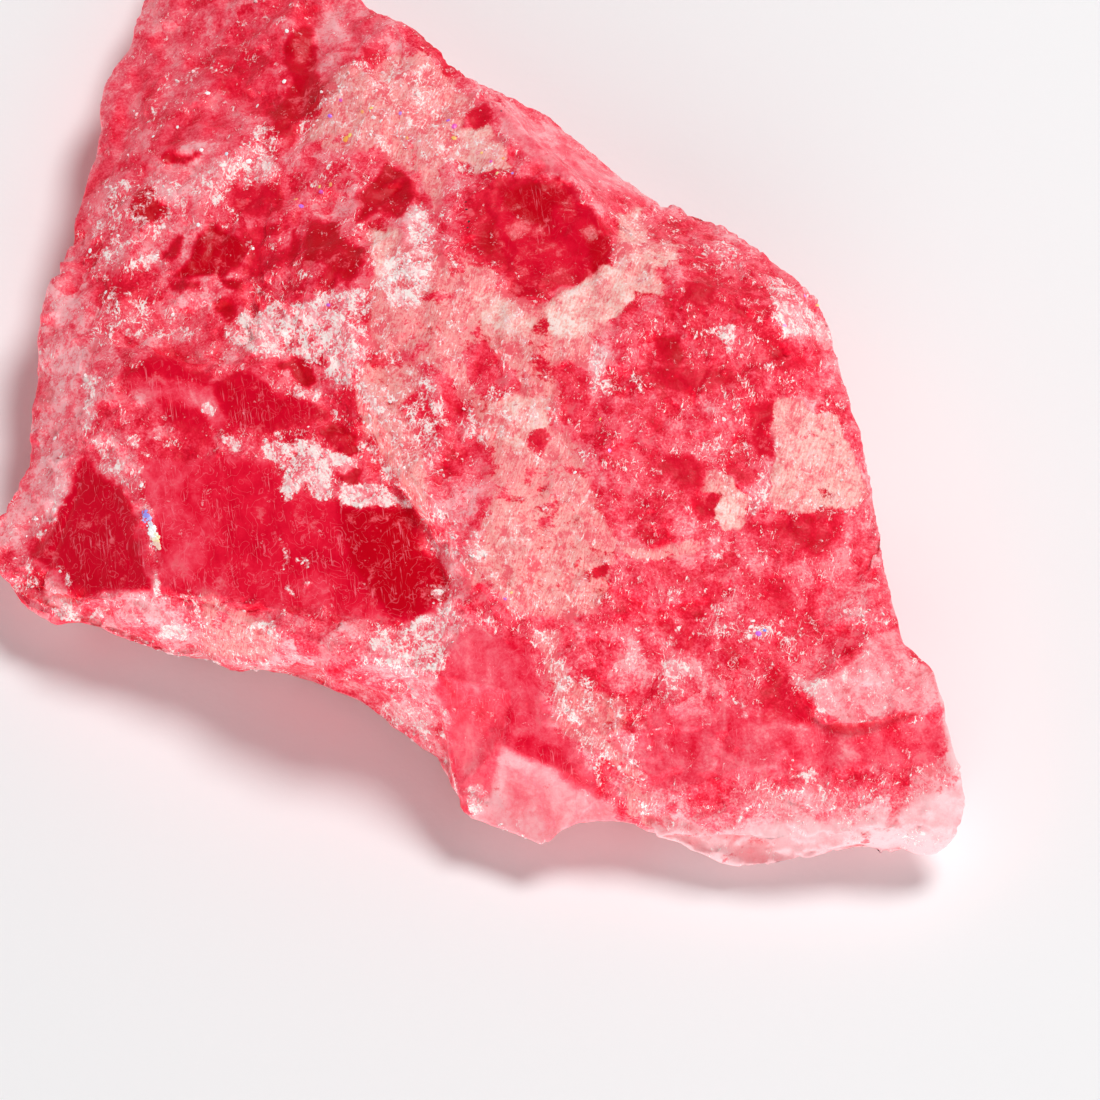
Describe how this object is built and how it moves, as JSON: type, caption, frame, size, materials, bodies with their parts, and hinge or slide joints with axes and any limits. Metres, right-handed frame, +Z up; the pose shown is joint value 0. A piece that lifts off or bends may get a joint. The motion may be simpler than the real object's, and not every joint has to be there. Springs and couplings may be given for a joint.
{
  "type": "rough rhodonite specimen",
  "caption": "Rough piece of rose-red gem rhodonite: a flat wedge with glassy cleavage faces, hackly breaks and a flat resting break.",
  "frame": {"origin": "middle of the bounding box, at the height of the flat break that the stone lies on", "axes": "+Z up from the resting break, +Y along the stone towards its blunt far point, +X across it towards the broad side"},
  "size_m": [0.032, 0.0348, 0.0082],
  "materials": {
    "rhodonite": "translucent rose-red, glassy on the cleavage faces and frosted on the breaks"
  },
  "bodies": {
    "root": {"rhodonite_stone": "rhodonite"}
  },
  "joints": []
}
